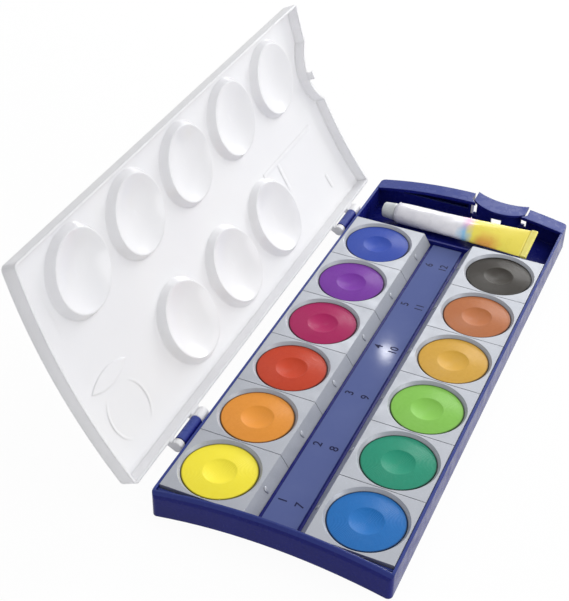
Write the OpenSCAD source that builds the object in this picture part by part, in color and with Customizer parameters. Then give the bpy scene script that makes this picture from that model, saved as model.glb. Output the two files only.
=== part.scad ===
/* [Paints] */
// Diameter of a paint tablet
tablet_d = 30; // [26:0.5:31]
// Play round a paint tablet in its pan
tablet_play = 0.25; // [0.1:0.05:0.4]
// Thickness of a paint tablet
tablet_t = 3.4; // [2.4:0.1:4.2]
// Diameter of the worn hollow in the middle of a tablet
dent_d = 13.5; // [8:0.5:18]
// Depth of the worn hollow
dent_depth = 1.1; // [0.5:0.1:1.8]
// How far the top of a tablet lies below the top of its pan
tablet_drop = 1.1; // [0.6:0.1:1.6]

/* [Pans] */
// Distance from one pan to the next along the tray
pan_pitch = 33.8; // [33.6:0.1:38]
// Width of a pan across the tray, at its top
pan_w = 34.9; // [34.6:0.1:40]
// Height of a pan
pan_h = 5.8; // [5.4:0.1:9]
// Run of the sloping side that faces the brush channel
pan_slope_run = 3.6; // [1:0.1:4.5]
// Seam between two pans
pan_seam = 0.3; // [0.1:0.1:0.8]
// Play between a pan and the tray wall
pan_play = 0.2; // [0.1:0.1:0.6]
// How far the pans stand above the rim of the tray
pan_proud = 0.5; // [0:0.1:1.5]
// Width of the open lip of a pan round its tablet
pan_flare = 1.1; // [0.5:0.1:1.3]
// Thickness of the floor of a pan
pan_floor = 1.2; // [0.8:0.1:1.6]

/* [Tray] */
// Width of the brush channel between the two rows of pans
channel_w = 24.6; // [20:0.2:34]
// Width of the raised middle of the brush channel
channel_bed_w = 15; // [8:0.5:16]
// Radius of the upright corners of the tray and the lid
corner_r = 2; // [0.5:0.1:3]
// Thickness of the side walls
side_wall = 1.2; // [0.9:0.1:2.5]
// Thickness of the arched floor
floor_t = 1.5; // [1:0.1:2.5]
// Rise of the arched underside in the middle
arch_rise = 5.2; // [3:0.1:7]
// Width of the flat strip that the tray stands on, along each side
foot_w = 2; // [1:0.1:4]
// Thickness of the stiffening ribs under the arched floor
under_rib_t = 2; // [1:0.1:4]
// Distance from one of these ribs to the next
under_rib_pitch = 76; // [50:1:100]
// Rise of the arched ends above the side walls
end_rise = 5.2; // [2:0.1:7]
// Thickness of the near end wall
near_wall = 2.2; // [1.2:0.1:3]
// Radius of the soft upper edge of the near end
near_round = 3; // [1:0.1:4]
// Distance from the near end wall to the pans
near_gap = 2.6; // [2.2:0.1:6]
// Length of the compartment for the tube
tube_bay = 32.7; // [30:0.1:45]
// Thickness of the rib between the pans and the tube
bay_rib = 1.2; // [0.8:0.1:2]
// Thickness of the straight wall behind the tube
bay_wall = 1.2; // [0.8:0.1:2]
// Drop of the straight wall below the rim
bay_wall_drop = 1; // [0.5:0.1:3]
// Hollow between the straight wall and the far end wall
end_hollow = 2.8; // [2:0.1:6]
// Thickness of the far end wall
far_wall = 1.8; // [1.2:0.1:3]
// Depth of the arched lip at the far end
lip_depth = 8.6; // [6.5:0.1:10]
// Thickness of the arched lip
lip_t = 1.6; // [1:0.1:2.5]
// Thickness of the ribs that the pans rest on
seat_rib = 1.8; // [1:0.1:3]

/* [Number strip] */
// Thickness of the strip that carries the numbers
strip_t = 0.5; // [0.3:0.1:1]
// Margin of the strip inside the channel bed
strip_margin = 0.3; // [0.1:0.1:1]
// Width of the finger notch in the strip
strip_notch_w = 9.6; // [5:0.2:12]
// Depth of the finger notch in the strip
strip_notch_depth = 4.6; // [1.5:0.1:4.7]
// Shift of the finger notch from the middle towards the hinges
strip_notch_shift = 1.5; // [0:0.1:2.5]

/* [Lid] */
// Angle at which the open lid leans back
lid_open = 116; // [95:1:125]
// Height of the lid above the rim of the tray
lid_h = 6.4; // [6:0.1:12]
// Thickness of the lid
lid_t = 1.2; // [0.9:0.1:2]
// Gap between the closed lid and the tray
lid_gap = 0.2; // [0.1:0.1:0.5]
// Depth of the arched lip that the closed lid leaves uncovered
lip_show = 5.4; // [4.6:0.1:8]
// How far the lid reaches over the open side of the tray
lid_over = 1.2; // [0:0.1:2]
// Depth of the bay in the lid that clears the latch
lid_bay_depth = 7.1; // [5.5:0.1:8]
// Width of that bay
lid_bay_w = 30; // [28:0.5:32]

/* [Mixing wells] */
// Distance from one well to the next
well_pitch = 43; // [40:0.5:45]
// Diameter of a well at its foot
well_d = 38; // [30:0.5:39.5]
// Diameter of a well at its edge
well_edge_d = 33.5; // [26:0.5:36]
// Width of the flat edge of a well
well_land = 0.5; // [0.3:0.1:1.5]
// Height of the raised edge of a well
well_h = 3.6; // [2.4:0.1:4.2]
// Distance of the outer row of wells from the middle of the lid
well_outer_x = 27; // [24:0.5:28]
// Distance of the inner row of wells from the middle of the lid
well_inner_x = 24.6; // [20:0.5:28]
// Place of the middle wells along the tray
well_y = -2.5; // [-8:0.5:2]

/* [Hinge] */
// Distance of the hinge pins from the side of the tray
hinge_out = 3.1; // [2.9:0.1:5]
// Drop of the hinge pins below the rim
hinge_drop = 1.2; // [0.5:0.1:3]
// Diameter of a hinge pin
hinge_pin_d = 2.8; // [2:0.1:3.2]
// Diameter of a hinge hook
hook_d = 5; // [4.4:0.1:5.4]
// Length of a hinge hook
hook_len = 14; // [8:0.5:20]
// Distance between the two hinges
hinge_span = 167; // [120:1:180]
// Shift of the two hinges towards the near end
hinge_shift = 2.8; // [0:0.1:10]
// Clearance of a hinge pin in its hook
hinge_fit = 0.06; // [0.02:0.01:0.1]
// Gap between a hook and the ears of the lid
ear_gap = 0.3; // [0.2:0.1:0.6]
// Thickness of the small ear of each hinge
ear_t = 3; // [1.5:0.1:4]
// Thickness of the long ear of each hinge
long_ear_t = 6; // [2:0.2:9]

/* [Latch] */
// Distance of the latch from the middle of the tray
latch_x = 15.3; // [0:0.1:17]
// Width of the latch
latch_w = 26; // [20:0.2:27]
// Gap on each side of the latch
latch_side_gap = 1.2; // [0.8:0.1:2]
// How far the front of the latch bulges towards the tube
latch_bulge = 6.2; // [4:0.1:7]
// How far the corners of the latch stand out of the far end
latch_out = 2.1; // [0.5:0.1:4]
// Depth of the thumb hollow in the outer edge of the latch
latch_hollow = 3.8; // [2:0.1:5]
// Thickness of the front wall of the latch
latch_t = 1.6; // [1.2:0.1:2.2]
// Thickness of the head of the latch
latch_top_t = 1.2; // [1:0.1:2]
// How far the head of the latch stands out over its front wall
latch_step = 1.5; // [1.2:0.1:2.5]
// Width of the window in the latch
window_w = 5.2; // [4:0.2:9]
// Height of the window in the latch
window_h = 6; // [3:0.1:6.4]
// Diameter of the latch pins
latch_pin_d = 2; // [1.6:0.1:2.4]
// Clearance of the latch on its pins
latch_fit = 0.06; // [0.02:0.01:0.1]
// Length of each barrel of the latch
latch_barrel_len = 6.5; // [4:0.1:8]
// Wall round each pin of the latch
latch_barrel_wall = 1; // [0.7:0.1:1.4]
// Width of the catch on the lid
catch_w = 3.6; // [3:0.2:10]
// Height of the nose of that catch
catch_h = 0.8; // [0.6:0.1:1.2]
// Bite of the catch under the head of the latch
catch_bite = 0.8; // [0.5:0.1:1.1]
// Gap between the lid and the latch
catch_gap = 0.3; // [0.2:0.1:0.5]

/* [Tube] */
// Diameter of the tube at its shoulder
tube_d = 10.8; // [9:0.2:13]
// Length of the tube from its shoulder to its flat end
tube_len = 66; // [50:1:68]
// Width of the flat end of the tube
tube_end_w = 17.4; // [14:0.2:19]
// Thickness of the flat end of the tube
tube_end_t = 1; // [0.6:0.1:1.6]
// Length of the folded strip at the flat end
tube_fold_len = 3.2; // [2:0.1:6]
// Thickness of the folded strip
tube_fold_t = 1.8; // [1.4:0.1:2.4]
// Height of the shoulder of the tube
tube_shoulder_h = 1.2; // [0.6:0.1:3]
// Diameter of the nozzle
nozzle_d = 5; // [3:0.1:5.6]
// Length of the nozzle
nozzle_len = 5; // [3:0.1:5.5]
// Diameter of the cap at its open end
cap_d = 8.6; // [7.6:0.1:9.4]
// Diameter of the cap at its closed end
cap_end_d = 7.6; // [6.8:0.1:8.6]
// Length of the cap
cap_len = 6.8; // [6.4:0.1:10]
// Running clearance of the cap round the nozzle
cap_fit = 0.08; // [0.04:0.01:0.1]
// Angle by which the flat end is rolled out of the level
tube_roll = 16; // [0:1:24]
// Rise of the tube towards its flat end, in degrees
tube_rise = 3; // [1.5:0.1:3.5]
// Turn of the tube across the compartment, in degrees
tube_turn = 3.6; // [0:0.1:4]
// Distance of the tube from the middle of its compartment
tube_shift = 3.6; // [0:0.1:4]
// Shift of the tube towards the hinge side
tube_side_shift = 1.8; // [0:0.1:3]
// Gap between the tube and the arched floor
tube_gap = 0.3; // [0.2:0.1:0.6]

/* [Hidden] */
rows = 6;
// How far joined solids run into each other
bite = 0.01;
// Gap under a pan, and how far the bed of the channel and the ribs stand above the pan seats
seat_gap = 0.05;
bed_rise = 0.2;
bay_rib_rise = 2.4;
// Straight part of the hole of a pan under its flared lip
pan_hole_land = 0.2;
// Gap round the front of the latch, in the lip
latch_lip_gap = 0.8;
big = 400;
arc_fn = 720;
round_fn = 96;

pan_half_gap = channel_w / 2;
tray_w = channel_w + 2 * (pan_w + pan_play + side_wall);
tray_len = near_wall + near_gap + rows * pan_pitch + tube_bay + bay_wall + end_hollow + far_wall;
seat_z = arch_rise + floor_t;
pan_top_z = seat_z + pan_h;
rim_z = pan_top_z - pan_proud;
near_y = -tray_len / 2;
far_y = tray_len / 2;
pans_y = near_y + near_wall + near_gap;
bay_y = pans_y + rows * pan_pitch;
bay_wall_y = bay_y + tube_bay;
tablet_x = tray_w / 2 - side_wall - pan_play - pan_w / 2 + 0.4;
tablet_top_z = pan_top_z - tablet_drop;

function arc_r(half, rise) = (half * half + rise * rise) / (2 * rise);
under_r = arc_r(tray_w / 2 - foot_w, arch_rise);
under_cz = arch_rise - under_r;
over_r = arc_r(tray_w / 2, end_rise);
over_cz = rim_z + end_rise - over_r;
function under_z(x) = under_cz + sqrt(under_r * under_r - x * x);
function over_z(x) = over_cz + sqrt(over_r * over_r - x * x);

lip_y = far_y - lip_depth;
lid_far_y = far_y - lip_show;
lid_x = tray_w / 2 + lid_over;
lid_out_r = over_r + lid_gap + lid_h;
lid_in_r = lid_out_r - lid_t;
bay_r = arc_r(lid_bay_w / 2, lid_bay_depth);
bay_bottom_y = lid_far_y - lid_bay_depth;

hinge_x = -tray_w / 2 - hinge_out;
hinge_z = rim_z - hinge_drop;
hinge_y = [-hinge_span / 2 - hinge_shift, hinge_span / 2 - hinge_shift];
ear_r = hook_d / 2 - 0.2;

latch_front_y = bay_bottom_y + catch_gap;
latch_front_r = arc_r(latch_w / 2, latch_bulge);
latch_corner_y = far_y + latch_out;
latch_back_r = arc_r(latch_w / 2, latch_hollow);
latch_pin_y = bay_wall_y + 0.8;
under_pin_wall = 1;
latch_barrel_r = latch_pin_d / 2 + latch_fit + latch_barrel_wall;
latch_pin_z = arch_rise + latch_barrel_r + under_pin_wall - latch_barrel_wall;
latch_low_z = latch_pin_z - latch_barrel_r;
window_low_z = latch_low_z + 0.7;
catch_top_z = over_z(latch_x + catch_w / 2) - latch_top_t - catch_gap;
catch_low_z = catch_top_z - catch_h - catch_bite / 2;
slot_half = latch_w / 2 + latch_side_gap;
// How far the front of the catch stands back from the wall of the bay
catch_inset = 0.05;
cheek_t = 1.4;
latch_pin_in = latch_barrel_len + latch_side_gap;

tube_y = bay_y + tube_bay / 2 - tube_shift;
tube_all_len = cap_len + tube_shoulder_h + tube_len;
tube_contact_x = -tube_all_len / 2 - tube_side_shift + cap_len + tube_shoulder_h + tube_d / 2;
tube_z = floor_t + under_z(tube_contact_x) + tube_gap + tube_d / 2;

// Colours of the paints, from the near end to the far end
LEFT_PAINTS = ["gold", "orange", "orangered", "mediumvioletred", "rebeccapurple", "royalblue"];
RIGHT_PAINTS = ["dodgerblue", "mediumseagreen", "yellowgreen", "goldenrod", "sienna", "darkslategray"];

// Helpers: a shape drawn across the tray (x, z) and run along it (y)
module along(y0, y1) {
    translate([0, y1, 0]) rotate([90, 0, 0]) linear_extrude(y1 - y0) children();
}

module under_disc(grow = 0) {
    translate([0, under_cz]) circle(under_r + grow, $fn = arc_fn);
}

module over_disc(grow = 0) {
    translate([0, over_cz]) circle(over_r + grow, $fn = arc_fn);
}

// Everything between the arched underside and the arched top of an end
module end_outline() {
    difference() {
        intersection() {
            translate([-tray_w / 2, 0]) square([tray_w, rim_z + end_rise + 1]);
            over_disc();
        }
        under_disc();
    }
}

// The plan of the tray or the lid, with its corners rounded
module rounded_plan(y0, y1, x1 = tray_w / 2) {
    x0 = -tray_w / 2;
    translate([x0 + corner_r, y0]) square([x1 - x0 - 2 * corner_r, y1 - y0]);
    translate([x0, y0 + corner_r]) square([x1 - x0, y1 - y0 - 2 * corner_r]);
    for (x = [x0 + corner_r, x1 - corner_r], y = [y0 + corner_r, y1 - corner_r])
        translate([x, y]) circle(corner_r, $fn = 48);
}

module side_outline() {
    difference() {
        translate([-tray_w / 2, 0]) square([tray_w, rim_z]);
        under_disc();
        difference() {
            translate([-tray_w / 2 + side_wall, -1]) square([tray_w - 2 * side_wall, rim_z + 2]);
            under_disc(floor_t);
        }
    }
}

module lip_outline() {
    difference() {
        end_outline();
        over_disc(-lip_t);
    }
}

// A block on the arched floor, from the floor up to z_top
module floor_block(x0, x1, y0, y1, z_top) {
    along(y0, y1) difference() {
        translate([x0, 0]) square([x1 - x0, z_top]);
        under_disc(floor_t - bite);
    }
}

// The outline of the front of the latch, grown by a gap
module latch_front_plan(grow = 0) {
    intersection() {
        translate([0, latch_front_y + latch_front_r]) circle(latch_front_r + grow, $fn = 180);
        translate([-latch_w / 2 - grow, latch_front_y - 2])
            square([latch_w + 2 * grow, latch_corner_y - latch_front_y + 2]);
    }
}

module pan_seats() {
    x_in = pan_half_gap - pan_slope_run;
    x_out = tray_w / 2 - side_wall + bite;
    for (k = [0 : rows], side = [-1, 1]) {
        y_mid = pans_y + k * pan_pitch;
        y0 = max(y_mid - seat_rib / 2, pans_y - pan_play - bite);
        y1 = min(y_mid + seat_rib / 2, bay_y);
        floor_block(side > 0 ? x_in : -x_out, side > 0 ? x_out : -x_in, y0, y1, seat_z);
    }
}

// Ribs across the hollow underside, level with the strips that the tray stands on
module under_ribs() {
    for (y = [-under_rib_pitch, 0, under_rib_pitch])
        along(y - under_rib_t / 2, y + under_rib_t / 2) intersection() {
            under_disc(bite);
            translate([-tray_w / 2 + foot_w / 2, 0]) square([tray_w - foot_w, arch_rise + 1]);
        }
}

module channel_bed() {
    floor_block(-channel_bed_w / 2, channel_bed_w / 2, pans_y - pan_play - bite, bay_y + bite, seat_z + bed_rise);
}

// Everything under the arched top, its near edge softened in three steps of a quarter turn
module softened_end() {
    translate([0, 0, over_cz]) rotate([-90, 0, 0]) rotate_extrude($fn = arc_fn) polygon([
        [0, near_y],
        [over_r - near_round, near_y],
        [over_r - near_round * (1 - sin(30)), near_y + near_round * (1 - cos(30))],
        [over_r - near_round * (1 - cos(30)), near_y + near_round * (1 - sin(30))],
        [over_r + near_round * sin(30) * tan(15), near_y + near_round * (1 + cos(60))],
        [over_r + 2 * near_round, far_y + 1],
        [0, far_y + 1]]);
}

module latch_slot() {
    translate([latch_x, 0, -1]) {
        linear_extrude(big) latch_front_plan(latch_lip_gap);
        translate([-slot_half, bay_wall_y, 0]) cube([2 * slot_half, far_y - bay_wall_y + 1, big]);
    }
}

module latch_cheeks() {
    for (side = [-1, 1]) {
        x_mid = latch_x + side * (slot_half + cheek_t / 2);
        intersection() {
            translate([x_mid - cheek_t / 2, bay_wall_y - 0.5, 0])
                cube([cheek_t, far_y - bay_wall_y + 0.5, big]);
            along(near_y, far_y) end_outline();
        }
    }
}

module tray_shell() {
    x_in = tray_w / 2 - side_wall + bite;
    along(near_y, far_y) side_outline();
    along(near_y, near_y + near_wall) end_outline();
    along(far_y - far_wall, far_y) end_outline();
    along(lip_y, far_y) lip_outline();
    floor_block(-x_in, x_in, pans_y - pan_play - bay_rib, pans_y - pan_play, rim_z - bay_wall_drop);
    floor_block(-x_in, x_in, bay_wall_y, bay_wall_y + bay_wall, rim_z - bay_wall_drop);
    floor_block(-x_in, x_in, bay_y + pan_play, bay_y + pan_play + bay_rib, seat_z + bay_rib_rise);
    pan_seats();
    channel_bed();
    under_ribs();
}

module tray() {
    color("royalblue") difference() {
        union() {
            difference() {
                intersection() {
                    tray_shell();
                    linear_extrude(big) rounded_plan(near_y, far_y);
                    softened_end();
                }
                latch_slot();
            }
            latch_cheeks();
        }
        latch_pin_line(latch_fit / 2);
    }
}

module latch_pin_line(grow = 0) {
    translate([latch_x - slot_half - cheek_t, latch_pin_y, latch_pin_z]) rotate([0, 90, 0])
        cylinder(h = 2 * (slot_half + cheek_t), r = latch_pin_d / 2 + grow, $fn = 48);
}

module latch_pin(side) {
    x_cheek = side * (slot_half + cheek_t);
    x_in = side * (slot_half - latch_pin_in);
    color("navy") translate([latch_x + min(x_cheek, x_in), latch_pin_y, latch_pin_z]) rotate([0, 90, 0])
        cylinder(h = abs(x_cheek - x_in), r = latch_pin_d / 2, $fn = 48);
}

module number_strip() {
    strip_w = channel_bed_w - 2 * strip_margin;
    notch_r = arc_r(strip_notch_w / 2, strip_notch_depth);
    z0 = seat_z + bed_rise;
    color("slateblue") difference() {
        translate([-strip_w / 2, pans_y + strip_margin, z0])
            cube([strip_w, rows * pan_pitch - 2 * strip_margin, strip_t]);
        translate([-strip_notch_shift, pans_y + strip_margin + strip_notch_depth - notch_r, z0 - 1])
            cylinder(h = strip_t + 2, r = notch_r, $fn = round_fn);
    }
}

// A pan of the right row; the left row is its mirror image
module pan_shape(k) {
    y0 = pans_y + k * pan_pitch + pan_seam / 2;
    x0 = pan_half_gap;
    r = tablet_d / 2 + tablet_play;
    low_z = seat_z + seat_gap;
    difference() {
        along(y0, y0 + pan_pitch - pan_seam)
            polygon([[x0, pan_top_z], [x0 - pan_slope_run, low_z],
                [x0 + pan_w, low_z], [x0 + pan_w, pan_top_z]]);
        translate([tablet_x, y0 + (pan_pitch - pan_seam) / 2, 0]) {
            translate([0, 0, tablet_top_z - tablet_t]) cylinder(h = big, r = r, $fn = round_fn);
            translate([0, 0, tablet_top_z - pan_hole_land])
                cylinder(h = tablet_drop + pan_hole_land + bite, r1 = r, r2 = r + pan_flare, $fn = round_fn);
        }
    }
}

module pan(side, k) {
    color("gainsboro") mirror([side < 0 ? 1 : 0, 0, 0]) pan_shape(k);
}

module paint(side, k) {
    dent_r = arc_r(dent_d / 2, dent_depth);
    y = pans_y + (k + 0.5) * pan_pitch;
    color(side < 0 ? LEFT_PAINTS[k] : RIGHT_PAINTS[k])
        translate([side * tablet_x, y, tablet_top_z - tablet_t]) difference() {
            cylinder(h = tablet_t, r = tablet_d / 2, $fn = round_fn);
            translate([0, 0, tablet_t - dent_depth + dent_r]) sphere(dent_r, $fn = 180);
        }
}

module hinge_hook(y) {
    reach = hinge_out + hook_d * 0.2;
    color("royalblue") difference() {
        union() {
            translate([hinge_x, y - hook_len / 2, hinge_z]) rotate([-90, 0, 0])
                cylinder(h = hook_len, d = hook_d, $fn = 64);
            translate([-tray_w / 2 - reach, y - hook_len / 2, hinge_z - hook_d / 2])
                cube([reach, hook_len, hook_d / 2]);
        }
        translate([hinge_x, y - hook_len / 2 - 1, hinge_z]) rotate([-90, 0, 0])
            cylinder(h = hook_len + 2, r = hinge_pin_d / 2 + hinge_fit, $fn = 64);
        translate([hinge_x - hook_d, y - hook_len / 2 - 1, hinge_z - hinge_pin_d * 0.4])
            cube([hook_d, hook_len + 2, hinge_pin_d * 0.8]);
    }
}

// Turns a piece of the closed lid back to where the open lid leans
module opened() {
    translate([hinge_x, 0, hinge_z]) rotate([0, -lid_open, 0]) translate([-hinge_x, 0, -hinge_z]) children();
}

module hinge_pin(y) {
    half = hook_len / 2 + ear_gap;
    color("white") opened() translate([hinge_x, y - half, hinge_z]) rotate([-90, 0, 0])
        cylinder(h = 2 * half, d = hinge_pin_d, $fn = 64);
}

module ear(y0, y1) {
    rim = rim_z + lid_gap;
    translate([hinge_x, y0, hinge_z]) rotate([-90, 0, 0]) cylinder(h = y1 - y0, r = ear_r, $fn = 64);
    along(y0, y1) polygon([[hinge_x - ear_r * 0.8, hinge_z + ear_r * 0.6],
        [-tray_w / 2 + lid_t / 2, rim + lid_h * 0.6], [-tray_w / 2 + lid_t / 2, rim],
        [hinge_x + ear_r * 0.5, rim]]);
}

module lid_outer() {
    difference() {
        intersection() {
            translate([-tray_w / 2, rim_z + lid_gap]) square([tray_w / 2 + lid_x, end_rise + lid_h + 1]);
            over_disc(lid_gap + lid_h);
        }
        over_disc(lid_gap);
    }
}

// The inside of the lid: everything under its skin, between its side walls
module lid_inner() {
    intersection() {
        translate([-tray_w / 2 + lid_t, 0]) square([tray_w / 2 + lid_x - 2 * lid_t, big]);
        over_disc(lid_gap + lid_h - lid_t);
    }
}

module lid_shell() {
    difference() {
        intersection() {
            translate([0, 0, rim_z + lid_gap]) linear_extrude(big) rounded_plan(near_y, lid_far_y, lid_x);
            along(near_y, lid_far_y) over_disc(lid_gap + lid_h);
        }
        along(near_y + lid_t, lid_far_y - lid_t) lid_inner();
        along(near_y - 1, lid_far_y + 1) over_disc(lid_gap);
    }
}

module latch_bay(grow = 0) {
    translate([latch_x, bay_bottom_y + bay_r, 0]) cylinder(h = big, r = bay_r + grow, $fn = 180);
}

// A frame on the inside of the lid skin, its z axis square to the skin
module on_skin(x, y) {
    translate([0, y, over_cz]) rotate([0, asin(x / lid_in_r), 0]) translate([0, 0, lid_in_r]) children();
}

WELLS = concat([for (k = [-2 : 2]) [well_outer_x, well_y + k * well_pitch]],
    [for (k = [-1 : 1]) [-well_inner_x, well_y + k * well_pitch]]);
well_ball_r = arc_r(well_edge_d / 2 - well_land, well_h);
// The dome at the back of a well is cut off flush with the skin over this height
dome_cut = 0.2;
// Height of the raised details inside the lid, and how far their roots reach into the skin
relief_h = 0.2;
relief_root = 0.3;
leaf_w = 7;
leaf_edge_gap = 9;
leaf_side_gap = 7;
ring_r = 12.4;
ring_edge_gap = 24;
ring_side_gap = 5.4;
bar_w = 2;
bar_x = 7;
long_bar = 53;
long_bar_gap = 48;
cross_bar = 17;
cross_bar_gap = 60;
short_bar = 7;
short_bar_gap = 28;

module well_cone(inset = 0) {
    translate([0, 0, -well_h + inset])
        cylinder(h = well_h + lid_t, r1 = well_edge_d / 2 - inset,
            r2 = well_edge_d / 2 - inset + (well_d - well_edge_d) / 2 * (well_h + lid_t) / well_h, $fn = round_fn);
}

module well_bowl() {
    intersection() {
        translate([0, 0, -well_ball_r]) sphere(well_ball_r, $fn = 256);
        translate([0, 0, -well_h - 1]) cylinder(h = well_h + 2, d = well_edge_d, $fn = round_fn);
    }
}

// The groove that keeps the raised edge of a well as thin as the lid
module well_groove() {
    difference() {
        well_cone(lid_t);
        translate([0, 0, -well_ball_r]) sphere(well_ball_r + lid_t + dome_cut, $fn = 256);
    }
}

// A leaf-shaped raised field, its long axis along y
module leaf(length, width, height) {
    r = arc_r(length / 2, width / 2);
    translate([0, 0, -height]) linear_extrude(height + relief_root) intersection() {
        translate([r - width / 2, 0]) circle(r, $fn = 180);
        translate([-r + width / 2, 0]) circle(r, $fn = 180);
    }
}

// A raised bar under the skin of the lid, its middle at x and y
module bar(x, y, size_x, size_y) {
    on_skin(x, y) translate([-size_x / 2, -size_y / 2, -relief_h]) cube([size_x, size_y, relief_h + relief_root]);
}

module lid_relief() {
    on_skin(well_outer_x - leaf_side_gap, near_y + leaf_edge_gap) rotate([0, 0, 90]) leaf(well_d, leaf_w, relief_h);
    on_skin(-well_inner_x + leaf_w * 1.5, near_y + ring_edge_gap) leaf(2 * ring_r, leaf_w, relief_h);
    on_skin(-well_inner_x - ring_side_gap, near_y + ring_edge_gap) translate([0, 0, -relief_h]) difference() {
        cylinder(h = relief_h + relief_root, r = ring_r, $fn = round_fn);
        translate([0, 0, -1]) cylinder(h = relief_h + relief_root + 2, r = ring_r - bar_w / 2, $fn = round_fn);
    }
    bar(-bar_x, far_y - long_bar_gap, bar_w, long_bar);
    bar(-2 * bar_x, far_y - cross_bar_gap, cross_bar, bar_w);
    bar(-5 * bar_x, far_y - short_bar_gap, short_bar, bar_w);
}

// The nose under the bay of the lid, which the head of the latch holds down
module lid_catch() {
    y0 = bay_bottom_y - lid_t * 0.8;
    y1 = bay_bottom_y - catch_inset;
    y2 = bay_bottom_y + catch_gap + catch_bite;
    root_z = over_z(latch_x) + lid_gap + 1;
    along_x(latch_x - catch_w / 2, latch_x + catch_w / 2)
        polygon([[y0, root_z], [y0, catch_low_z], [y1, catch_low_z], [y2, catch_top_z - catch_h],
            [y2, catch_top_z], [y1, catch_top_z], [y1, root_z]]);
}

// A shape drawn in y and z and run along x
module along_x(x0, x1) {
    translate([x0, 0, 0]) rotate([90, 0, 90]) linear_extrude(x1 - x0) children();
}

module lid_closed() {
    difference() {
        union() {
            lid_shell();
            intersection() {
                latch_bay(lid_t);
                linear_extrude(big) rounded_plan(near_y, lid_far_y, lid_x);
                along(near_y, lid_far_y) lid_outer();
            }
            for (w = WELLS) on_skin(w[0], w[1]) well_cone();
            lid_relief();
        }
        latch_bay();
        for (w = WELLS) on_skin(w[0], w[1]) {
            well_bowl();
            well_groove();
        }
    }
    for (y = hinge_y) {
        half = hook_len / 2 + ear_gap;
        ear(y - half - ear_t, y - half);
        ear(y + half, y + half + long_ear_t);
    }
    lid_catch();
}

module lid() {
    color("whitesmoke", 0.6) opened() lid_closed();
}

// The head of the latch, flush with the arched lip
module latch_head() {
    intersection() {
        translate([latch_x, 0, 0]) linear_extrude(big) difference() {
            latch_front_plan();
            translate([0, latch_corner_y - latch_hollow + latch_back_r]) circle(latch_back_r, $fn = 180);
        }
        along(near_y, tray_len) difference() {
            over_disc();
            over_disc(-latch_top_t);
        }
    }
}

module latch_front_wall() {
    intersection() {
        translate([latch_x, 0, latch_low_z]) linear_extrude(big) difference() {
            latch_front_plan(-latch_step);
            translate([0, latch_front_y + latch_front_r])
                circle(latch_front_r - latch_step - latch_t, $fn = 180);
            translate([-latch_w, latch_pin_y]) square([2 * latch_w, big]);
        }
        along(near_y, tray_len) over_disc(-latch_top_t / 2);
    }
}

module latch_barrel(x0) {
    translate([x0, latch_pin_y, latch_pin_z]) rotate([0, 90, 0])
        cylinder(h = latch_barrel_len, r = latch_barrel_r, $fn = 64);
    translate([0, 0, latch_low_z]) linear_extrude(latch_barrel_r * 1.6) intersection() {
        translate([latch_x, 0, 0]) latch_front_plan(-latch_step);
        translate([x0, latch_front_y]) square([latch_barrel_len, latch_pin_y - latch_front_y]);
    }
}

module latch() {
    color("mediumblue") difference() {
        union() {
            latch_head();
            latch_front_wall();
            latch_barrel(latch_x - latch_w / 2);
            latch_barrel(latch_x + latch_w / 2 - latch_barrel_len);
        }
        latch_pin_line(latch_fit);
        translate([latch_x - window_w / 2, latch_front_y - 1, window_low_z])
            cube([window_w, latch_step + latch_t + 3, window_h]);
    }
}

// Places a piece of the tube: x runs from the cap to the flat end
module tube_place() {
    translate([tube_contact_x, tube_y - tube_contact_x * sin(tube_turn), tube_z])
        rotate([0, -tube_rise, -tube_turn])
            translate([-cap_len - tube_shoulder_h - tube_d / 2, 0, 0]) rotate([tube_roll, 0, 0]) children();
}

module tube_body() {
    color("lightyellow") tube_place() translate([cap_len + tube_shoulder_h, 0, 0]) hull() {
        rotate([0, 90, 0]) cylinder(h = 1, d = tube_d, $fn = 40);
        translate([tube_len - 1, -tube_end_w / 2, -tube_end_t / 2]) cube([1, tube_end_w, tube_end_t]);
    }
}

module tube_shoulder() {
    nozzle_x = cap_len - nozzle_len;
    color("white") tube_place() {
        translate([cap_len, 0, 0]) rotate([0, 90, 0])
            cylinder(h = tube_shoulder_h, d1 = cap_d - 0.6, d2 = tube_d, $fn = 64);
        translate([nozzle_x, 0, 0]) rotate([0, 90, 0]) cylinder(h = nozzle_len + bite, d = nozzle_d, $fn = 64);
    }
}

module tube_fold() {
    x0 = cap_len + tube_shoulder_h + tube_len;
    color("gold") tube_place() translate([x0, -tube_end_w / 2, -tube_fold_t / 2])
        cube([tube_fold_len, tube_end_w, tube_fold_t]);
}

module tube_cap() {
    bore_x = cap_len - nozzle_len - 0.4;
    color("lightgray") tube_place() rotate([0, 90, 0]) difference() {
        cylinder(h = cap_len - 0.1, d1 = cap_end_d, d2 = cap_d, $fn = 64);
        translate([0, 0, bore_x]) cylinder(h = cap_len, r = nozzle_d / 2 + cap_fit, $fn = 64);
    }
}

tray();
number_strip();
hinge_hook(hinge_y[0]);  // hinge_hook_near
hinge_hook(hinge_y[1]);  // hinge_hook_far
latch_pin(-1);  // latch_pin_l
latch_pin(1);  // latch_pin_r
latch();
lid();
hinge_pin(hinge_y[0]);  // hinge_pin_near
hinge_pin(hinge_y[1]);  // hinge_pin_far
tube_body();
tube_shoulder();
tube_fold();
tube_cap();
for (k = [0 : rows - 1]) {
    pan(-1, k);
    pan(1, k);
    paint(-1, k);
    paint(1, k);
}
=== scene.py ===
"""Looks for a paint set box: moulded plastic, pressed paints, printed numbers and a printed tube."""
import math

import bmesh
import bpy
from mathutils import Euler, Matrix, Vector


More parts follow.
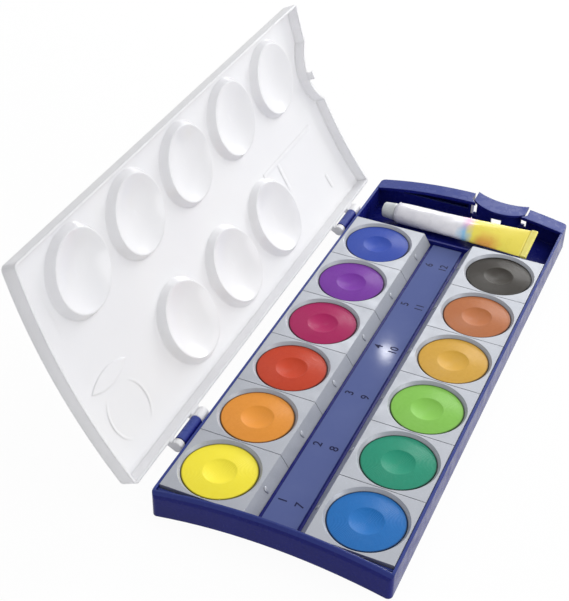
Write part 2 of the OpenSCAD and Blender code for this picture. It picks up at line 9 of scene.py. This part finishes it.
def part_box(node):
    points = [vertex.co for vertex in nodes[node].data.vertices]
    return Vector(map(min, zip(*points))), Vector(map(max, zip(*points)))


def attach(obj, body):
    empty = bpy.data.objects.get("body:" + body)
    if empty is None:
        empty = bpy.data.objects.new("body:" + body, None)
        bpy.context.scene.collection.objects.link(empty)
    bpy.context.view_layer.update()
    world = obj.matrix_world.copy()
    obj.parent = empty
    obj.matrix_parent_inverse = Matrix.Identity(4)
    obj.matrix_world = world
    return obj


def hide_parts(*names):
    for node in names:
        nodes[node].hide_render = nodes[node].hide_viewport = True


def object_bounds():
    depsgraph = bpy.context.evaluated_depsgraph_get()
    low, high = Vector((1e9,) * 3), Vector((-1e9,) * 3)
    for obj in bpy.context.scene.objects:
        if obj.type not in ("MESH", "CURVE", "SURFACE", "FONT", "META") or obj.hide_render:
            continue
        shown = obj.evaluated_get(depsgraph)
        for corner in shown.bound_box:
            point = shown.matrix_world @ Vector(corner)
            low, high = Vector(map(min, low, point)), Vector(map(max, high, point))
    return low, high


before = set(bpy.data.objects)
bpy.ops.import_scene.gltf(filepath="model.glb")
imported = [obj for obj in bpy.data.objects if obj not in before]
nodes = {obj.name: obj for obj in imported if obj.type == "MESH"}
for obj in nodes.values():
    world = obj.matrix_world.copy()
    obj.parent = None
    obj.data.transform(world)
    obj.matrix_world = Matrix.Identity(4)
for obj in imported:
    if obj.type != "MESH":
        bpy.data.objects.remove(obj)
cad_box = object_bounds()

MM = 0.001
PAN_NAMES = ["l1", "l2", "l3", "l4", "l5", "l6", "r1", "r2", "r3", "r4", "r5", "r6"]


def side_of(name):
    """-1 for a pan of the left row, 1 for one of the right row."""
    return -1 if name[0] == "l" else 1


def srgb(red, green, blue):
    """A colour given as it looks on a screen, 0 to 255, as Blender's linear colour."""
    def linear(value):
        share = value / 255
        return share / 12.92 if share <= 0.04045 else ((share + 0.055) / 1.055) ** 2.4
    return (linear(red), linear(green), linear(blue), 1.0)


# Shader nodes


def feed(tree, socket, value):
    """Links another node's socket, or sets a plain value."""
    if isinstance(value, bpy.types.NodeSocket):
        tree.links.new(value, socket)
    else:
        socket.default_value = value


def add(tree, kind, inputs=None, **settings):
    """A shader node with its settings and inputs."""
    made = tree.nodes.new("ShaderNode" + kind)
    for name, value in settings.items():
        setattr(made, name, value)
    for socket, value in (inputs or {}).items():
        feed(tree, made.inputs[socket], value)
    return made


def calc(tree, operation, first, second=0.0):
    """The result of a Math node; a sine leaves the second value unused."""
    return add(tree, "Math", {0: first, 1: second}, operation=operation).outputs["Value"]


def new_material(name):
    material = bpy.data.materials.new(name)
    material.use_nodes = True
    material.node_tree.nodes.clear()
    return material, material.node_tree


def finish_material(tree, surface):
    add(tree, "OutputMaterial", {"Surface": surface})


def object_place(tree):
    return add(tree, "TexCoord").outputs["Object"]


def noise(tree, size, detail=2.0):
    """Noise whose largest blots are about size metres across."""
    made = add(tree, "TexNoise", {"Vector": object_place(tree), "Scale": 1 / size, "Detail": detail})
    return made.outputs["Fac"]


def spread(tree, value, low, high, out_low, out_high):
    """Maps a value from one range to another, clamped."""
    made = add(tree, "MapRange", {"Value": value, "From Min": low, "From Max": high,
                                  "To Min": out_low, "To Max": out_high})
    return made.outputs["Result"]


def mix_colour(tree, factor, first, second):
    made = tree.nodes.new("ShaderNodeMix")
    made.data_type = "RGBA"
    for identifier, value in (("Factor_Float", factor), ("A_Color", first), ("B_Color", second)):
        feed(tree, next(s for s in made.inputs if s.identifier == identifier), value)
    return next(s for s in made.outputs if s.identifier == "Result_Color")


def rounded_normal(tree, radius):
    """Softens sharp edges in the shading, as a moulded edge is soft."""
    return add(tree, "Bevel", {"Radius": radius}, samples=4).outputs["Normal"]


def bumped(tree, height, distance, strength, normal):
    made = add(tree, "Bump", {"Height": height, "Distance": distance, "Strength": strength, "Normal": normal})
    return made.outputs["Normal"]


def distance_from_axis(tree, centre):
    """Distance of a point from the upright line through centre, in metres."""
    axis_foot = (centre.x, centre.y, 0)
    offset = add(tree, "VectorMath", {0: object_place(tree), 1: axis_foot}, operation="SUBTRACT")
    flat = add(tree, "VectorMath", {0: offset.outputs["Vector"], 1: (1, 1, 0)}, operation="MULTIPLY")
    return add(tree, "VectorMath", {0: flat.outputs["Vector"]}, operation="LENGTH").outputs["Value"]


def seen_directly(tree):
    """1 for what is seen, also in a reflection or through a clear piece; 0 for light that falls on a surface."""
    path = add(tree, "LightPath").outputs
    seen = calc(tree, "MAXIMUM", path["Is Camera Ray"], path["Is Glossy Ray"])
    return calc(tree, "MAXIMUM", seen, path["Is Transmission Ray"])


# Materials

# Moulded plastic: sizes of its handling marks, pale specks and uneven gloss, and the depth of its grain
HANDLING_SIZE = 14 * MM
SPECK_SIZE = 0.7 * MM
GLOSS_SIZE = 5 * MM
GRAIN_DEPTH = 0.02 * MM
SPECK_WHITE = srgb(214, 218, 236)
# Heights between which upward faces of the tray and latch turn paler: painted light on the tops
TOP_LIGHT_LOW = 9 * MM
TOP_LIGHT_HIGH = 10 * MM


def moulded_plastic(name, colour, worn, roughness, edge=0.4, grain=0.25, metallic=0.0, speckle=0.0, shine=0.5,
                    uneven=0.07, lit_top_colour=None):
    """Injection-moulded plastic with soft edges of edge mm, a grain of grain mm and, if given, a paler top that
    is painted light.
    """
    material, tree = new_material(name)
    marks = spread(tree, noise(tree, HANDLING_SIZE, 4), 0.45, 0.7, 0.0, 0.5)
    base = mix_colour(tree, marks, colour, worn)
    if speckle:
        specks = spread(tree, noise(tree, SPECK_SIZE, 2), 0.55, 0.75, 0.0, speckle)
        base = mix_colour(tree, specks, base, SPECK_WHITE)
    # Upward faces high up get the paler colour: painted light on the tops
    if lit_top_colour:
        height = add(tree, "SeparateXYZ", {0: object_place(tree)}).outputs["Z"]
        up = add(tree, "SeparateXYZ", {0: add(tree, "TexCoord").outputs["Normal"]}).outputs["Z"]
        painted_top_light = calc(tree, "MULTIPLY", spread(tree, height, TOP_LIGHT_LOW, TOP_LIGHT_HIGH, 0.0, 1.0),
                       spread(tree, up, 0.4, 0.9, 0.0, 1.0))
        base = mix_colour(tree, painted_top_light, base, lit_top_colour)
    rough = spread(tree, noise(tree, GLOSS_SIZE, 5), 0.35, 0.7, roughness - uneven, roughness + uneven)
    normal = bumped(tree, noise(tree, grain * MM, 2), GRAIN_DEPTH, 0.5, rounded_normal(tree, edge * MM))
    shader = add(tree, "BsdfPrincipled", {"Base Color": base, "Roughness": rough, "Normal": normal,
                                          "Metallic": metallic, "Specular IOR Level": shine})
    finish_material(tree, shader.outputs["BSDF"])
    return material


def milky_plastic(name):
    """The thin white lid: light passes through it and softens its shadows."""
    material, tree = new_material(name)
    cloud = spread(tree, noise(tree, 60 * MM, 3), 0.4, 0.65, 0.0, 1.0)
    base = mix_colour(tree, cloud, srgb(242, 242, 244), srgb(239, 239, 242))
    rough = spread(tree, noise(tree, 9 * MM, 3), 0.35, 0.7, 0.3, 0.36)
    normal = bumped(tree, noise(tree, 1.5 * MM, 2), 0.01 * MM, 0.1, rounded_normal(tree, 1.0 * MM))
    solid = add(tree, "BsdfPrincipled", {"Base Color": base, "Roughness": rough, "Normal": normal,
                                         "Coat Weight": 0.6, "Coat Roughness": 0.12})
    through = add(tree, "BsdfTranslucent", {"Color": srgb(250, 250, 250), "Normal": normal})
    mixed = add(tree, "MixShader", {0: 0.28, 1: solid.outputs["BSDF"], 2: through.outputs["BSDF"]})
    finish_material(tree, mixed.outputs["Shader"])
    return material


TABLET_RADIUS = 15 * MM
# The paler hollow, a painted sheen, fades out between these distances from the middle, and the dark edge of
# painted shade fades in
HOLLOW_EDGE = (5.2 * MM, 7.2 * MM)
EDGE_SHADE_SPAN = (14.35 * MM, 14.8 * MM)
EDGE_SHADE_SHARE = 0.95
EDGE_SHADE_DARKNESS = 0.3
# How far the middle of a tablet seems to stand above its rim, in the shading
CROWN_HEIGHT = 0.9 * MM
# The fine rings that the press leaves on a tablet
RING_PITCH = 0.5 * MM
RING_HEIGHT = 0.02 * MM
# How much brighter the paint is painted in the hollow: a painted sheen
HOLLOW_SHEEN = 1.04

# Colours of the tablets: dry paint, and the deeper paint of its fine patches, which darkened gives the painted
# shade at its edge
PAINTS = {
    "l1": (srgb(247, 231, 64), srgb(243, 225, 40)),
    "l2": (srgb(226, 146, 54), srgb(216, 134, 42)),
    "l3": (srgb(190, 60, 28), srgb(180, 48, 20)),
    "l4": (srgb(162, 10, 84), srgb(152, 4, 76)),
    "l5": (srgb(112, 38, 152), srgb(100, 28, 142)),
    "l6": (srgb(34, 66, 162), srgb(24, 56, 154)),
    "r1": (srgb(28, 110, 184), srgb(20, 100, 176)),
    "r2": (srgb(28, 142, 112), srgb(20, 132, 102)),
    "r3": (srgb(130, 192, 78), srgb(120, 184, 66)),
    "r4": (srgb(208, 160, 56), srgb(198, 148, 42)),
    "r5": (srgb(176, 102, 52), srgb(166, 90, 42)),
    "r6": (srgb(26, 18, 5), srgb(22, 15, 4)),
}


def pressed_paint(name, centre, dry, deep):
    """A pressed tablet, slightly crowned: powdery grain, a hollow painted paler as a painted sheen, a dark edge
    that is painted shade.
    """
    material, tree = new_material(name)
    radius = distance_from_axis(tree, centre)
    hollow = spread(tree, radius, *HOLLOW_EDGE, 1.0, 0.0)
    edge_shade = spread(tree, radius, *EDGE_SHADE_SPAN, 0.0, EDGE_SHADE_SHARE)
    powder = spread(tree, noise(tree, 1.2 * MM, 6), 0.4, 0.65, 0.0, 0.3)
    dusty = mix_colour(tree, powder, dry, deep)
    # The hollow is painted paler than the dry paint: a painted sheen
    hollow_sheen_colour = tuple(value * HOLLOW_SHEEN for value in dry[:3]) + (1.0,)
    worn = mix_colour(tree, hollow, dusty, hollow_sheen_colour)
    # The darkened ring at the tablet's edge is painted shade of the gap around the tablet
    edge_shade_colour = tuple(value * EDGE_SHADE_DARKNESS for value in deep[:3]) + (1.0,)
    base = mix_colour(tree, edge_shade, worn, edge_shade_colour)
    rough = spread(tree, hollow, 0.0, 1.0, 0.38, 0.46)
    square = calc(tree, "POWER", calc(tree, "MULTIPLY", radius, 1 / TABLET_RADIUS), 2.0)
    crown = calc(tree, "SUBTRACT", 1.0, square)
    crowned = bumped(tree, crown, CROWN_HEIGHT, 1.0, rounded_normal(tree, 0.5 * MM))
    rings = calc(tree, "SINE", calc(tree, "MULTIPLY", radius, 2 * math.pi / RING_PITCH))
    pressed = bumped(tree, rings, RING_HEIGHT, 1.0, crowned)
    grain = bumped(tree, noise(tree, 0.5 * MM, 5), 0.05 * MM, 0.3, pressed)
    swirl = add(tree, "TexWave", {"Vector": object_place(tree), "Scale": 60.0, "Distortion": 9.0, "Detail": 2.0})
    normal = bumped(tree, swirl.outputs["Fac"], 0.05 * MM, 0.12, grain)
    shader = add(tree, "BsdfPrincipled", {"Base Color": base, "Roughness": rough, "Normal": normal,
                                          "Specular IOR Level": 0.15})
    finish_material(tree, shader.outputs["BSDF"])
    return material


def ink(name, colour):
    """Printed ink: thin, slightly uneven."""
    material, tree = new_material(name)
    patchy = spread(tree, noise(tree, 0.6 * MM, 3), 0.45, 0.7, 0.0, 0.25)
    base = mix_colour(tree, patchy, colour, srgb(60, 66, 128))
    shader = add(tree, "BsdfPrincipled", {"Base Color": base, "Roughness": 0.5, "Specular IOR Level": 0.1})
    finish_material(tree, shader.outputs["BSDF"])
    return material


def dress(node, material):
    """Gives a CAD node its material."""
    target = nodes[node]
    if not target.material_slots:
        target.data.materials.append(material)
    for slot in target.material_slots:
        slot.material = material


# The paler top colour of the tray and the latch is painted light on their upward faces
TRAY_BLUE = moulded_plastic("tray_blue", srgb(22, 27, 112), srgb(28, 34, 120), 0.26, edge=0.55, speckle=0.02,
                            shine=0.13, lit_top_colour=srgb(58, 70, 138))
STRIP_BLUE = moulded_plastic("strip_blue", srgb(92, 103, 152), srgb(98, 109, 156), 0.07, edge=0.15, grain=9.0,
                             shine=0.004, uneven=0.005)
LATCH_BLUE = moulded_plastic("latch_blue", srgb(22, 27, 112), srgb(28, 34, 120), 0.26, edge=0.5, grain=0.3,
                             speckle=0.03, shine=0.13, lit_top_colour=srgb(58, 70, 138))
LID_WHITE = milky_plastic("lid_white")
PAN_GREY = moulded_plastic("pan_grey", srgb(164, 167, 174), srgb(156, 160, 168), 0.4, edge=0.25, grain=0.3,
                           metallic=0.28, speckle=0.1, shine=0.3)
NUMBER_INK = ink("number_ink", srgb(14, 17, 58))

for name in ("tray", "hinge_hook_near", "hinge_hook_far", "latch_pin_l", "latch_pin_r"):
    dress(name, TRAY_BLUE)
dress("number_strip", STRIP_BLUE)
dress("latch", LATCH_BLUE)
for name in ("lid", "hinge_pin_near", "hinge_pin_far"):
    dress(name, LID_WHITE)
for name in PAN_NAMES:
    dress("pan_" + name, PAN_GREY)
    low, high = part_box("paint_" + name)
    dress("paint_" + name, pressed_paint("paint_" + name, (low + high) / 2, *PAINTS[name]))


# New pieces


def link(piece):
    bpy.context.scene.collection.objects.link(piece)


def mesh_piece(name, build, material, body):
    """A new mesh object: build(bm) fills it."""
    bm = bmesh.new()
    build(bm)
    bmesh.ops.recalc_face_normals(bm, faces=bm.faces)
    mesh = bpy.data.meshes.new(name)
    bm.to_mesh(mesh)
    bm.free()
    mesh.materials.append(material)
    piece = bpy.data.objects.new(name, mesh)
    link(piece)
    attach(piece, body)
    return piece


def smooth(piece):
    for face in piece.data.polygons:
        face.use_smooth = True
    return piece


def angles_of(count):
    """The angles of count points, evenly around a circle."""
    return [2 * math.pi * step / count for step in range(count)]


def loft(bm, rings):
    """Joins rings of points into a skin and closes both ends."""
    made = [[bm.verts.new(point) for point in ring] for ring in rings]
    for first, second in zip(made, made[1:]):
        for step in range(len(first)):
            after = (step + 1) % len(first)
            bm.faces.new((first[step], first[after], second[after], second[step]))
    bm.faces.new(list(reversed(made[0])))
    bm.faces.new(made[-1])


# Printed numbers beside the pans, on the strip in the brush channel
NUMBER_HEIGHT = 5.2 * MM
NUMBER_SIDE = 3.5 * MM
INK_LIFT = 0.02 * MM


def printed_number(text, centre, height):
    """A printed number that reads along the tray."""
    curve = bpy.data.curves.new("number_" + text, "FONT")
    curve.body = text
    curve.size = height
    curve.align_x = "CENTER"
    curve.align_y = "CENTER"
    curve.extrude = 0.01 * MM
    curve.offset = 0.08 * MM
    flat = bpy.data.objects.new("flat_" + text, curve)
    link(flat)
    bpy.context.view_layer.update()
    mesh = bpy.data.meshes.new_from_object(flat)
    bpy.data.objects.remove(flat)
    mesh.materials.clear()
    mesh.materials.append(NUMBER_INK)
    piece = bpy.data.objects.new("number_" + text, mesh)
    piece.matrix_world = Matrix.Translation(centre) @ Matrix.Rotation(math.pi / 2, 4, "Z")
    link(piece)
    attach(piece, "tray")


strip_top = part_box("number_strip")[1].z
for index, name in enumerate(PAN_NAMES):
    low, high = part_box("pan_" + name)
    centre = Vector((side_of(name) * NUMBER_SIDE, (low.y + high.y) / 2, strip_top + INK_LIFT))
    printed_number(str(index + 1), centre, NUMBER_HEIGHT)


# Small drop-shaped marks moulded on the slopes of the pans
MARK_LENGTH = 3.6 * MM
MARK_WIDTH = 2.1 * MM
MARK_HEIGHT = 0.4 * MM
MARK_SINK = 0.02 * MM
MARK_POINTS = 20
# How far the slope of a pan reaches sideways
SLOPE_RUN = 3.6 * MM


def drop_mark(bm, place):
    """A flat drop: a ring of points on the slope, a second ring inside it, and a crown."""
    rings = []
    for share, lift in ((1.0, -MARK_SINK), (0.72, 0.6 * MARK_HEIGHT), (0.35, MARK_HEIGHT)):
        ring = []
        for angle in angles_of(MARK_POINTS):
            taper = 1 - 0.45 * math.cos(angle)
            along = MARK_LENGTH / 2 * math.cos(angle) * share
            across = MARK_WIDTH / 2 * math.sin(angle) * taper * share
            ring.append(place @ Vector((along, across, lift)))
        rings.append(ring)
    loft(bm, rings)


for name in PAN_NAMES:
    low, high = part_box("pan_" + name)
    foot_x = high.x if side_of(name) < 0 else low.x
    top_x = foot_x + side_of(name) * SLOPE_RUN
    along = Vector((foot_x - top_x, 0, low.z - high.z)).normalized()
    across = Vector((0, 1, 0))
    outward = along.cross(across)
    if outward.z < 0:
        outward = -outward
    centre = Vector(((top_x + foot_x) / 2, (low.y + high.y) / 2, (low.z + high.z) / 2))
    place = Matrix.Translation(centre) @ Matrix((along, across, outward)).transposed().to_4x4()
    smooth(mesh_piece("slope_mark_" + name, lambda bm: drop_mark(bm, place), PAN_GREY, "pan_" + name))


# Tube: its pieces are drawn along x from the cap to the flat end, then laid in the compartment
CAP_LENGTH = 6.8 * MM
CAP_GAP = 0.1 * MM
CAP_RADIUS = 4.3 * MM
CAP_END_RADIUS = 3.8 * MM
CAP_RIBS = 30
CAP_RIB_DEPTH = 0.14 * MM
SHOULDER = 1.2 * MM
SHOULDER_RADIUS = 4.7 * MM
TUBE_START = CAP_LENGTH + SHOULDER
TUBE_LENGTH = 66 * MM
TUBE_RADIUS = 5.4 * MM
FLAT_HALF_WIDTH = 8.7 * MM
FLAT_HALF_THICKNESS = 0.5 * MM
FOLD_RIDGES = 88
# The upper half of the folded end in mm: along the tube, and up from its middle
FOLD_OUTLINE = [(0.0, 0.5), (0.25, 0.62), (0.35, 0.9), (1.2, 0.9), (1.35, 0.78), (1.5, 0.9), (2.7, 0.9),
                (3.05, 0.75), (3.2, 0.35)]
TUBE_RISE = math.radians(3)
TUBE_TURN = math.radians(3.6)
TUBE_ROLL = math.radians(16)
SHOULDER_AT = Vector((-25.4, 98.89488, 10.868558)) * MM
tube_place = (Matrix.Translation(SHOULDER_AT)
              @ Matrix.Rotation(-TUBE_TURN, 4, "Z") @ Matrix.Rotation(-TUBE_RISE, 4, "Y")
              @ Matrix.Translation(Vector((-TUBE_START - TUBE_RADIUS, 0, 0)))
              @ Matrix.Rotation(TUBE_ROLL, 4, "X"))
from_world = tube_place.inverted()


def on_tube(x, y, z):
    return tube_place @ Vector((x, y, z))


def round_ring(x, radius, count):
    """Points of a circle around the tube's axis."""
    return [on_tube(x, radius * math.cos(angle), radius * math.sin(angle)) for angle in angles_of(count)]


def tube_skin(bm):
    """Soft metal: round at the shoulder, flat at the far end, with the slight dents of a handled tube."""
    count, steps = 72, 60
    rings = [round_ring(TUBE_START, SHOULDER_RADIUS, count)]
    for step in range(steps + 1):
        share = step / steps
        edge = min(1.0, 0.93 + 0.07 * min(1.0, share * 14) ** 0.5)
        half_width = (TUBE_RADIUS + (FLAT_HALF_WIDTH - TUBE_RADIUS) * share) * edge
        half_height = (TUBE_RADIUS + (FLAT_HALF_THICKNESS - TUBE_RADIUS) * share) * edge
        x = TUBE_START + TUBE_LENGTH * share
        ring = []
        for angle in angles_of(count):
            dent = 1 - 0.05 * share * (1 - share) * 4 * math.sin(angle * 3 + share * 9) ** 2
            dent -= 0.03 * math.sin(share * math.pi) * math.sin(share * 23 + angle) ** 2
            y = half_width * math.cos(angle) * (1 + (dent - 1) * 0.3)
            ring.append(on_tube(x, y, half_height * math.sin(angle) * dent))
        rings.append(ring)
    loft(bm, rings)


def tube_crimp(bm):
    """The flat end, folded over twice and pressed with a row of fine ridges."""
    start = TUBE_START + TUBE_LENGTH
    profile = [(start + x * MM, z * MM) for x, z in FOLD_OUTLINE]
    profile += [(start + x * MM, -z * MM) for x, z in reversed(FOLD_OUTLINE)]
    rings = []
    for step in range(FOLD_RIDGES + 1):
        across = -FLAT_HALF_WIDTH + 2 * FLAT_HALF_WIDTH * step / FOLD_RIDGES
        press = 0.93 if step % 2 else 1.0
        if step in (0, FOLD_RIDGES):
            press = 0.8
        rings.append([on_tube(x, across, z * press) for x, z in profile])
    loft(bm, rings)


def tube_cap_shape(bm):
    """A small screw cap with fine grip ribs, a softened end and a hollow foot."""
    count = CAP_RIBS * 6
    length = CAP_LENGTH - CAP_GAP
    # Place along the cap, share of its radius there, and share of the depth of its ribs
    stations = [(0.0, 0.80, 0.0), (0.12 * MM, 0.9, 0.0), (0.4 * MM, 0.97, 0.0), (0.8 * MM, 1.0, 0.3),
                (1.2 * MM, 1.0, 1.0), (length - 1.4 * MM, 1.0, 1.0), (length - 1.1 * MM, 1.0, 0.3),
                (length - 0.9 * MM, 1.0, 0.0), (length, 1.0, 0.0)]
    rings = []
    for x, share, depth in stations:
        radius = (CAP_END_RADIUS + (CAP_RADIUS - CAP_END_RADIUS) * x / length) * share
        ring = []
        for angle in angles_of(count):
            cut = CAP_RIB_DEPTH * depth * (0.5 - 0.5 * math.cos(CAP_RIBS * angle))
            ring.append(on_tube(x, (radius - cut) * math.cos(angle), (radius - cut) * math.sin(angle)))
        rings.append(ring)
    for x, radius in ((length, 3.1 * MM), (length - 1.0 * MM, 2.62 * MM)):
        rings.append(round_ring(x, radius, count))
    loft(bm, rings)


def printed_metal(name):
    """White enamel with a soft wash of colours towards the flat end, a generic pattern."""
    material, tree = new_material(name)
    local = add(tree, "Mapping", {"Vector": object_place(tree), "Location": from_world.to_translation(),
                                  "Rotation": from_world.to_euler()}, vector_type="POINT")
    parts = add(tree, "SeparateXYZ", {0: local.outputs["Vector"]})
    along, across = parts.outputs["X"], parts.outputs["Y"]
    # The edges of the colours wander by a few millimetres
    uneven = calc(tree, "ADD", along, calc(tree, "MULTIPLY", noise(tree, 9 * MM, 2), 12 * MM))
    white = mix_colour(tree, spread(tree, noise(tree, 5 * MM, 3), 0.4, 0.7, 0.0, 1.0),
                       srgb(236, 235, 240), srgb(226, 225, 232))
    sky = spread(tree, uneven, 45.5 * MM, 49.5 * MM, 0.0, 1.0)
    low_side = spread(tree, across, -3.5 * MM, 1.5 * MM, 1.0, 0.0)
    tint = mix_colour(tree, low_side, srgb(232, 184, 214), srgb(140, 196, 232))
    first = mix_colour(tree, sky, white, tint)
    yellow = spread(tree, uneven, 50.5 * MM, 54.5 * MM, 0.0, 1.0)
    second = mix_colour(tree, yellow, first, srgb(244, 226, 78))
    warm_along = spread(tree, uneven, 55 * MM, 60 * MM, 0.0, 1.0)
    warm_end = spread(tree, uneven, 64 * MM, 70 * MM, 1.0, 0.0)
    warm_side = spread(tree, across, -6.5 * MM, 1.0 * MM, 1.0, 0.0)
    warm = calc(tree, "MULTIPLY", calc(tree, "MULTIPLY", warm_along, warm_end), warm_side)
    base = mix_colour(tree, warm, second, srgb(226, 158, 52))
    rough = spread(tree, noise(tree, 4 * MM, 4), 0.35, 0.7, 0.26, 0.38)
    creased = bumped(tree, noise(tree, 7 * MM, 3), 0.25 * MM, 0.35, rounded_normal(tree, 0.2 * MM))
    shader = add(tree, "BsdfPrincipled", {"Base Color": base, "Roughness": rough, "Normal": creased,
                                          "Coat Weight": 0.3, "Coat Roughness": 0.15})
    finish_material(tree, shader.outputs["BSDF"])
    return material


TUBE_PRINT = printed_metal("tube_print")
FOLD_PRINT = moulded_plastic("tube_fold_print", srgb(246, 234, 120), srgb(238, 224, 96), 0.34, edge=0.15)
NECK_WHITE = moulded_plastic("tube_neck", srgb(226, 226, 232), srgb(212, 212, 220), 0.35)
CAP_GREY = moulded_plastic("cap_grey", srgb(206, 209, 210), srgb(196, 199, 201), 0.38, edge=0.15)

skin = smooth(mesh_piece("tube_skin", tube_skin, TUBE_PRINT, "tube"))
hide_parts("tube_body")
crimp = mesh_piece("tube_crimp", tube_crimp, FOLD_PRINT, "tube")
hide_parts("tube_fold")
cap = smooth(mesh_piece("tube_screw_cap", tube_cap_shape, CAP_GREY, "cap"))
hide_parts("tube_cap")
dress("tube_shoulder", NECK_WHITE)
for name in ("tube_body", "tube_fold"):
    dress(name, TUBE_PRINT)
dress("tube_cap", CAP_GREY)


# Stage: a floor and a world that look white and still light the object plainly
FLOOR_SIZE = 6
FLOOR_GAP = 0.2 * MM
FLOOR_GLOW = 0.96
FILL_LEVEL = 0.5


def floor_material(name, shade):
    """White to the eye, and still a diffuse floor that keeps the object's shadow."""
    material, tree = new_material(name)
    share = calc(tree, "MULTIPLY", seen_directly(tree), FLOOR_GLOW)
    grain = mix_colour(tree, spread(tree, noise(tree, 0.2, 2), 0.4, 0.6, 0.0, 1.0), shade, srgb(247, 247, 247))
    matte = add(tree, "BsdfDiffuse", {"Color": grain})
    glow = add(tree, "Emission", {"Color": (1, 1, 1, 1), "Strength": 1.0})
    mixed = add(tree, "MixShader", {0: share, 1: matte.outputs["BSDF"], 2: glow.outputs["Emission"]})
    finish_material(tree, mixed.outputs["Shader"])
    return material


bpy.ops.mesh.primitive_plane_add(size=FLOOR_SIZE, location=(0, 0, cad_box[0][2] - FLOOR_GAP))
floor = bpy.context.object
floor.name = "floor"
floor.data.materials.append(floor_material("floor_white", srgb(250, 250, 250)))

world = bpy.data.worlds.new("studio")
bpy.context.scene.world = world
world.use_nodes = True
studio = world.node_tree
studio.nodes.clear()
white = add(studio, "Background", {"Color": (1, 1, 1, 1), "Strength": 1.0})
fill = add(studio, "Background", {"Color": (0.98, 0.985, 1, 1), "Strength": FILL_LEVEL})
pick = add(studio, "MixShader", {0: seen_directly(studio), 1: fill.outputs["Background"],
                                 2: white.outputs["Background"]})
add(studio, "OutputWorld", {"Surface": pick.outputs["Shader"]})

# Lamps: name, place, the point it shines at, size and power in watts
LAMPS = [
    ("key", (0.6, 0.4, 1.05), (0, 0, 0.02), (0.7, 0.7), 3.2),
    ("back", (0.16, 1.25, 0.46), (0, 0, 0.02), (0.8, 0.3), 12.0),
    ("side", (1.15, 0.0, 0.42), (-0.05, 0, 0.06), (0.5, 0.9), 4.6),
    ("spot", (-0.272, 0.86, 0.75), (0, 0, 0.01), (0.014, 0.014), 1.0),
]
for name, place, aim, size, power in LAMPS:
    data = bpy.data.lights.new(name, "AREA")
    data.shape = "RECTANGLE"
    data.size, data.size_y = size
    data.energy = power
    lamp = bpy.data.objects.new(name, data)
    lamp.location = place
    lamp.rotation_euler = (Vector(aim) - Vector(place)).to_track_quat("-Z", "Y").to_euler()
    link(lamp)

# Camera, solved from the twelve round tablets
CAMERA_AT = (0.12893, -0.40785, 0.35656)
CAMERA_TURN = (52.70, -0.962, 24.284)
FOCAL_MM = 75.57
SENSOR_MM = 36.0
camera_data = bpy.data.cameras.new("camera")
camera_data.sensor_fit = "VERTICAL"
camera_data.sensor_height = SENSOR_MM
camera_data.lens = FOCAL_MM
camera_data.clip_start = 0.01
camera = bpy.data.objects.new("camera", camera_data)
camera.location = CAMERA_AT
camera.rotation_euler = Euler([math.radians(turn) for turn in CAMERA_TURN], "XYZ")
link(camera)
bpy.context.scene.camera = camera
bpy.context.scene.view_settings.view_transform = "Standard"
